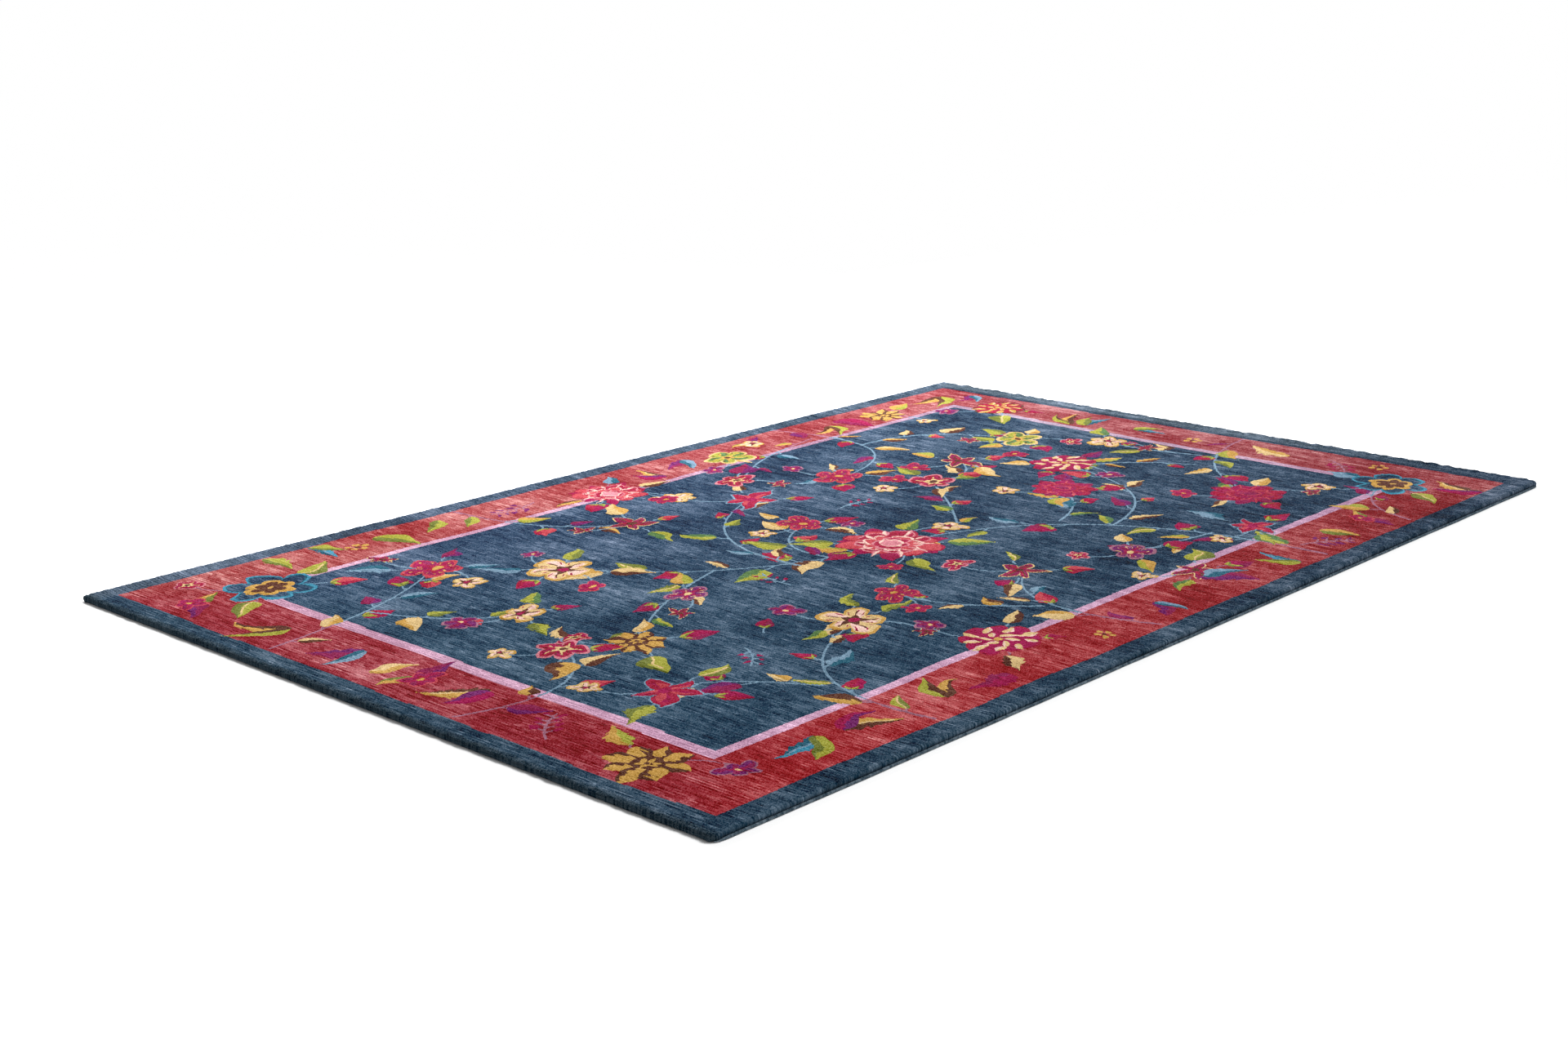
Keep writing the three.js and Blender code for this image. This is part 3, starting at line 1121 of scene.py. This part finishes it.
def ridge_faces(colour, rows, places, starts):
    """The two flanks and the underside of every run of pile, and the two ends of every row."""
    here = np.setdiff1d(np.arange(len(rows)), starts[:, 1] - 1)
    left, top, right = (3 * here + k for k in range(3))
    quads = np.concatenate((
        np.stack((left, left + 3, top + 3, top), axis=1),
        np.stack((top, top + 3, right + 3, right), axis=1),
        np.stack((right, right + 3, left + 3, left), axis=1),
    ))
    caps = np.concatenate((
        3 * starts[:, :1] + np.array((0, 1, 2)),
        3 * (starts[:, 1:] - 1) + np.array((2, 1, 0)),
    ))
    ends = np.concatenate((starts[:, 0], starts[:, 1] - 1))
    run = colour[rows[here], (places[here] + places[here + 1]) // 2]
    cap = colour[rows[ends], np.minimum(places[ends], colour.shape[1] - 1)]
    smooth = np.zeros(len(quads) + len(caps), bool)
    smooth[: 2 * len(here)] = True
    return Faces(quads, caps, np.concatenate((run, run, run, cap)), smooth)


def ridge_lines(pile, rows, places, starts, strip_ends):
    """The left foot, the crest and the right foot at every cut: places on the flat, and heights."""
    crest = pile.crest[rows, places]
    heights = (pile.valley[rows, places], crest, pile.valley[rows + 1, places])
    leans = (pile.slants[0, rows, places], np.zeros(len(rows)), pile.slants[1, rows, places])
    middle = pile.chart.x[rows] + pile.wobble[rows, places]
    flat, lifts = [], []
    for side, (height, lean) in enumerate(zip(heights, leans)):
        across = middle + (side - 1) * FLANK_REACH * ROW_PITCH / 2
        lean = FLANK_REACH * np.clip(lean, -LONGEST_LEAN, LONGEST_LEAN)
        lean = np.where(np.isin(places, strip_ends), 0, lean)
        along = in_order(places + lean, starts) * KNOT_PITCH - ROLLED_WIDTH / 2
        flat.append(np.stack((across, along), axis=1))
        lifts.append(crest + FLANK_REACH * (height - crest))
    return np.stack(flat, axis=1), np.stack(lifts, axis=1)


def strip_of_pile(pile, name, low, high):
    """The part of every row that lies between two places, each a closed ridge, as one piece."""
    rows, places, starts = sections_in(pile.cuts, low, high)
    flat, lifts = ridge_lines(pile, rows, places, starts, (low, high))
    points = on_pile(flat[..., 0], flat[..., 1], lifts, pile.sag[rows, places][:, None])
    faces = ridge_faces(pile.colour, rows, places, starts)
    uv = folded_map(flat.reshape(-1, 2), pile.chart.x[rows].repeat(3), low, high)
    piece = mesh_piece(name, points.reshape(-1, 3), faces, uv)
    crease_ridges(piece.data, starts)
    return piece


def crease_ridges(mesh, starts):
    """Keeps the shading of a ridge's flanks apart from its ends and its underside."""
    is_end = np.zeros(len(mesh.vertices) // 3, bool)
    is_end[starts[:, 0]] = True
    is_end[starts[:, 1] - 1] = True
    ends = np.empty(2 * len(mesh.edges), np.int32)
    mesh.edges.foreach_get("vertices", ends)
    first, second = ends.reshape(-1, 2).T
    across = first // 3 == second // 3
    sharp = np.where(across, is_end[first // 3], (first % 3 != 1) & (first % 3 == second % 3))
    crease = mesh.attributes.new("sharp_edge", "BOOLEAN", "EDGE")
    crease.data.foreach_set("value", sharp)


def folded_map(flat, row_x, low, high):
    """The strip seen from above, folded into three lengths that lie side by side on a square map."""
    length = ROLLED_LENGTH / MAP_FOLDS
    fold = np.clip(((row_x + ROLLED_LENGTH / 2) / length).astype(int), 0, MAP_FOLDS - 1)
    along = (flat[:, 0] + ROLLED_LENGTH / 2 - fold * length) / length
    across = (flat[:, 1] + ROLLED_WIDTH / 2 - low * KNOT_PITCH) / ((high - low) * KNOT_PITCH)
    inner = 1 - 2 * MAP_MARGIN
    return np.stack((MAP_MARGIN + inner * along, (fold + MAP_MARGIN + inner * across) / MAP_FOLDS), axis=1)


def mesh_piece(name, points, faces, uv=None):
    """An object from arrays of points and faces, with a colour for each face."""
    mesh = bpy.data.meshes.new(name)
    corners = np.concatenate((faces.quads.ravel(), faces.triangles.ravel()))
    sizes = np.concatenate((np.full(len(faces.quads), 4), np.full(len(faces.triangles), 3)))
    mesh.vertices.add(len(points))
    mesh.vertices.foreach_set("co", points.astype(np.float32).ravel())
    mesh.loops.add(len(corners))
    mesh.loops.foreach_set("vertex_index", corners.astype(np.int32))
    mesh.polygons.add(len(sizes))
    mesh.polygons.foreach_set("loop_start", np.concatenate(((0,), np.cumsum(sizes)[:-1])).astype(np.int32))
    mesh.update(calc_edges=True)
    mesh.polygons.foreach_set("use_smooth", faces.smooth)
    shade = mesh.attributes.new("yarn", "FLOAT_COLOR", "FACE")
    with_alpha = np.concatenate((faces.colours, np.ones((len(sizes), 1))), axis=1)
    shade.data.foreach_set("color", with_alpha.astype(np.float32).ravel())
    if uv is not None:
        layer = mesh.uv_layers.new(name="OFBake")
        layer.uv.foreach_set("vector", uv[corners].astype(np.float32).ravel())
    mesh.validate()
    piece = bpy.data.objects.new(name, mesh)
    bpy.context.scene.collection.objects.link(piece)
    return piece


def side_cord(name, side, rng):
    """The overcast cord along a long side: yarn wrapped round and round the outermost warps."""
    length = 2 * (HALF_LENGTH - CORD_END)
    steps = round(length / WRAP_PITCH) * WRAP_STEPS
    x = np.linspace(-length / 2, length / 2, steps + 1)
    angle = np.arange(CORD_SIDES) * tau / CORD_SIDES
    phase = pi * x[:, None] / WRAP_PITCH + angle / 2
    points = cord_points(x, angle, phase, side, rng)
    return mesh_piece(name, points, cord_faces(steps, cord_colours(angle, phase, rng)))


def cord_points(x, angle, phase, side, rng):
    """Rings of points round the cord: drawn in between wraps, thinner to its ends, bent round the corners."""
    taper = CORD_END_SIZE + (1 - CORD_END_SIZE) * smooth_step(x[-1] - np.abs(x)[:, None], 0, CORD_TAPER)
    size = taper * (1 - WRAP_GROOVE + WRAP_GROOVE * np.abs(np.sin(phase)))
    past = np.maximum(np.abs(x) - CORE_LENGTH, 0)[:, None]
    corner = CORNER_RADIUS - np.sqrt(CORNER_RADIUS**2 - past**2)
    drift = ripple(x, 0 * x, rng, *CORD_DRIFT)[:, None]
    y = side * (HALF_WIDTH + CORD_OUT - corner) + drift + size * CORD_WIDTH / 2 * np.cos(angle)
    z = np.maximum(CORD_HEIGHT / 2 * (1 + size * np.sin(angle)), CORD_CLEARANCE)
    return np.stack((np.broadcast_to(x[:, None], y.shape), y, z), axis=-1).reshape(-1, 3)


def cord_colours(angle, phase, rng):
    """A tone for each wrap of the yarn, paler low down."""
    wrap = np.floor(phase[:-1] / pi).astype(int).ravel() % WRAP_TONES
    low_down = np.tile(0.5 - 0.5 * np.sin(angle), len(phase) - 1)
    tone = (1 - LOW_TONE) * rng.uniform(0, 1, WRAP_TONES)[wrap] + LOW_TONE * low_down
    return (1 - tone[:, None]) * linear(CORD_DARK) + tone[:, None] * linear(CORD_PALE)


def ring_quads(steps, size):
    """The faces between one ring of points and the next, for so many steps."""
    here = np.arange(steps * size)
    after = here - here % size + (here + 1) % size
    return np.stack((here, after, after + size, here + size), axis=1)


def cord_faces(steps, colours):
    """The faces between the rings of points, and a flat cap at each end."""
    quads = ring_quads(steps, CORD_SIDES)
    last = steps * CORD_SIDES
    fan = np.arange(1, CORD_SIDES - 1)
    caps = np.concatenate((
        np.stack((np.zeros_like(fan), fan + 1, fan), axis=1),
        np.stack((np.full_like(fan, last), last + fan, last + fan + 1), axis=1),
    ))
    colours = np.concatenate((colours, np.tile(linear(CORD_DARK), (len(caps), 1))))
    return Faces(quads, caps, colours, np.ones(len(colours), bool))


def foundation_ring(height, inset):
    """Points round the foundation's outline, at a height and so far inside it."""
    radius = FOUNDATION_CORNER - inset
    quarters = []
    for quarter, (corner_x, corner_y) in enumerate(((1, 1), (-1, 1), (-1, -1), (1, -1))):
        angle = (quarter + np.linspace(0, 1, CORNER_STEPS + 1)) * pi / 2
        x = corner_x * (HALF_LENGTH - FOUNDATION_INSET - FOUNDATION_CORNER) + radius * np.cos(angle)
        y = corner_y * (HALF_WIDTH - FOUNDATION_INSET - FOUNDATION_CORNER) + radius * np.sin(angle)
        quarters.append(np.stack((x, y, np.full(len(angle), height)), axis=1))
    return np.concatenate(quarters)


def foundation():
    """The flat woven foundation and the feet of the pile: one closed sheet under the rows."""
    rings = [foundation_ring(*place) for place in FOUNDATION_SECTION]
    points = np.concatenate((*rings, ((0, 0, 0), (0, 0, FOUNDATION_TOP))))
    size = len(rings[0])
    quads = ring_quads(len(rings) - 1, size)
    top = size * (len(rings) - 1)
    here = np.arange(size)
    after = (here + 1) % size
    back_centre = np.full(size, top + size)
    caps = np.concatenate((
        np.stack((back_centre, after, here), axis=1),
        np.stack((back_centre + 1, top + here, top + after), axis=1),
    ))
    colours = np.tile(linear(FOUNDATION_COLOUR), (len(quads) + len(caps), 1))
    return mesh_piece("rug_foundation", points, Faces(quads, caps, colours, np.zeros(len(colours), bool)))


def node(tree, kind, inputs, **settings):
    """A new shader node, with its settings, and a value or a link for each of its inputs."""
    new = tree.nodes.new(kind)
    for name, value in settings.items():
        setattr(new, name, value)
    for place, value in inputs.items():
        if isinstance(value, bpy.types.NodeSocket):
            tree.links.new(value, new.inputs[place])
        else:
            new.inputs[place].default_value = value
    return new


def ranged(tree, value, low, high, to_low, to_high):
    """A value between low and high, carried over to the range to_low to to_high."""
    inputs = {"Value": value, "From Min": low, "From Max": high, "To Min": to_low, "To Max": to_high}
    return node(tree, "ShaderNodeMapRange", inputs).outputs["Result"]


def product(tree, first, second):
    return node(tree, "ShaderNodeMath", {0: first, 1: second}, operation="MULTIPLY").outputs["Value"]


def stretched(tree, scale):
    """The piece's own coordinates, with so many units to the metre along X, Y and Z."""
    place = node(tree, "ShaderNodeTexCoord", {}).outputs["Object"]
    return node(tree, "ShaderNodeMapping", {"Vector": place, "Scale": scale}).outputs["Vector"]


def stepped(tree, operation, colour, value):
    """A colour after one step of arithmetic with the same value in each channel."""
    inputs = {0: colour, 1: (value, value, value)}
    return node(tree, "ShaderNodeVectorMath", inputs, operation=operation).outputs["Vector"]


def hazed(tree, colour, shade):
    """A colour made lighter and darker by shade, and a little greyer with it, as a haze of fibres does."""
    lifted = stepped(tree, "ADD", colour, HAZE)
    scaled = node(tree, "ShaderNodeVectorMath", {0: lifted, "Scale": shade}, operation="SCALE")
    lowered = stepped(tree, "SUBTRACT", scaled.outputs["Vector"], HAZE)
    return stepped(tree, "MAXIMUM", lowered, DARKEST)


def new_material(name, look):
    """A material whose shader has the values that look gives."""
    material = bpy.data.materials.new(name)
    material.use_nodes = True
    shader = material.node_tree.nodes["Principled BSDF"]
    for socket, value in look.items():
        shader.inputs[socket].default_value = value
    return material


def wool():
    """Cut wool pile: tufts with shade between them, fibres lighter and darker along rows, a soft sheen."""
    material = new_material("wool_pile", WOOL_LOOK)
    tree = material.node_tree
    yarn = node(tree, "ShaderNodeAttribute", {}, attribute_name="yarn")
    along_fibres = stretched(tree, FIBRES_PER_METRE)
    along_tufts = stretched(tree, TUFTS_PER_METRE)
    fibre = node(tree, "ShaderNodeTexNoise", {"Vector": along_fibres, "Scale": 1.0, "Detail": FIBRE_DETAIL})
    tuft = node(tree, "ShaderNodeTexVoronoi", {"Vector": along_tufts, "Scale": 1.0}, voronoi_dimensions="2D")
    tuft_tone = node(tree, "ShaderNodeSeparateColor", {"Color": tuft.outputs["Color"]})
    streak = ranged(tree, fibre.outputs["Fac"], *FIBRE_SHADE)
    gap = ranged(tree, tuft.outputs["Distance"], *GAP_SHADE)
    tone = ranged(tree, tuft_tone.outputs["Red"], *TUFT_SHADE)
    shade = product(tree, product(tree, streak, gap), tone)
    relief = {"Height": product(tree, gap, streak), "Strength": BUMP_STRENGTH, "Distance": BUMP_DEPTH}
    bump = node(tree, "ShaderNodeBump", relief)
    shader = tree.nodes["Principled BSDF"]
    tree.links.new(hazed(tree, yarn.outputs["Color"], shade), shader.inputs["Base Color"])
    tree.links.new(bump.outputs["Normal"], shader.inputs["Normal"])
    return material


def build_pile(rng):
    """The strips of pile, from the chart to the meshes."""
    chart = weave(rng)
    rows, knots = chart.yarn.shape
    crest, valley = pile_heights(chart, rng)
    colour = yarn_colours(chart, streaks(chart, rng), edge_shade(chart, rng))
    grid = chart.x[:, None], chart.cut_y[None, :]
    wobble = ripple(*grid, rng, *ROW_WOBBLE)
    sag = ripple(*grid, rng, *PILE_SAG)
    strip_cuts = np.linspace(0, knots, STRIPS + 1).round().astype(int)
    cuts = [row_cuts(chart, row, strip_cuts) for row in range(rows)]
    pile = Pile(chart, cuts, crest, valley, colour, wobble, sag, outline_slants(chart))
    return [
        strip_of_pile(pile, f"pile_strip_{number + 1}", low, high)
        for number, (low, high) in enumerate(zip(strip_cuts[:-1], strip_cuts[1:]))
    ]


def build_floor():
    mesh = bpy.data.meshes.new("floor")
    corners = [(x * FLOOR_REACH, y * FLOOR_REACH, 0) for x, y in ((-1, -1), (1, -1), (1, 1), (-1, 1))]
    mesh.from_pydata(corners, [], [(0, 1, 2, 3)])
    floor = bpy.data.objects.new("floor", mesh)
    bpy.context.scene.collection.objects.link(floor)
    mesh.materials.append(new_material("pale_floor", FLOOR_LOOK))


def build_camera():
    data = bpy.data.cameras.new("camera")
    data.lens = CAMERA_LENS
    data.sensor_width = CAMERA_SENSOR
    data.clip_end = CAMERA_SIGHT
    camera = bpy.data.objects.new("camera", data)
    turn = Matrix.Rotation(CAMERA_HEADING, 4, "Z") @ Matrix.Rotation(pi / 2 - CAMERA_PITCH, 4, "X")
    camera.matrix_world = Matrix.Translation(CAMERA_AT) @ turn @ Matrix.Rotation(CAMERA_ROLL, 4, "Z")
    bpy.context.scene.collection.objects.link(camera)
    bpy.context.scene.camera = camera


def add_light(name, kind, back, **values):
    """A light that shines the opposite way to back."""
    data = bpy.data.lights.new(name, kind)
    for key, value in values.items():
        setattr(data, key, value)
    light = bpy.data.objects.new(name, data)
    light.rotation_euler = Vector(back).to_track_quat("Z", "Y").to_euler()
    bpy.context.scene.collection.objects.link(light)
    return light


def add_panel(name, at, towards, size, watts):
    """A soft rectangular light at a place, turned towards another."""
    back = Vector(at) - Vector(towards)
    panel = add_light(name, "AREA", back, shape="RECTANGLE", size=size[0], size_y=size[1], energy=watts)
    panel.location = at


def build_light():
    """Even light from all round, a soft high sun, and two panels that brighten the far sides."""
    world = bpy.data.worlds.new("studio")
    bpy.context.scene.world = world
    world.use_nodes = True
    background = world.node_tree.nodes["Background"]
    background.inputs["Color"].default_value = (1, 1, 1, 1)
    background.inputs["Strength"].default_value = WORLD_LIGHT
    add_light("key", "SUN", back=(0.45, -0.10, 1.0), energy=2.32, angle=radians(24))
    add_panel("side", at=(0.9, 2.5, 1.1), towards=(0.6, 0.6, 0), size=(3.8, 1.2), watts=205)
    add_panel("back", at=(3.2, 0.6, 0.8), towards=(1.3, 0.2, 0), size=(2.4, 0.8), watts=18)
    bpy.context.scene.view_settings.view_transform = "Standard"


rng = np.random.default_rng(SEED)
build_camera()
build_light()
build_floor()
pile = build_pile(rng)
cords = [side_cord("side_cord_near", -1, rng), side_cord("side_cord_far", 1, rng)]
base = foundation()
wool_material = wool()
for piece in (*pile, *cords, base):
    piece.data.materials.append(wool_material)
    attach(piece, "root")
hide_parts("rug")
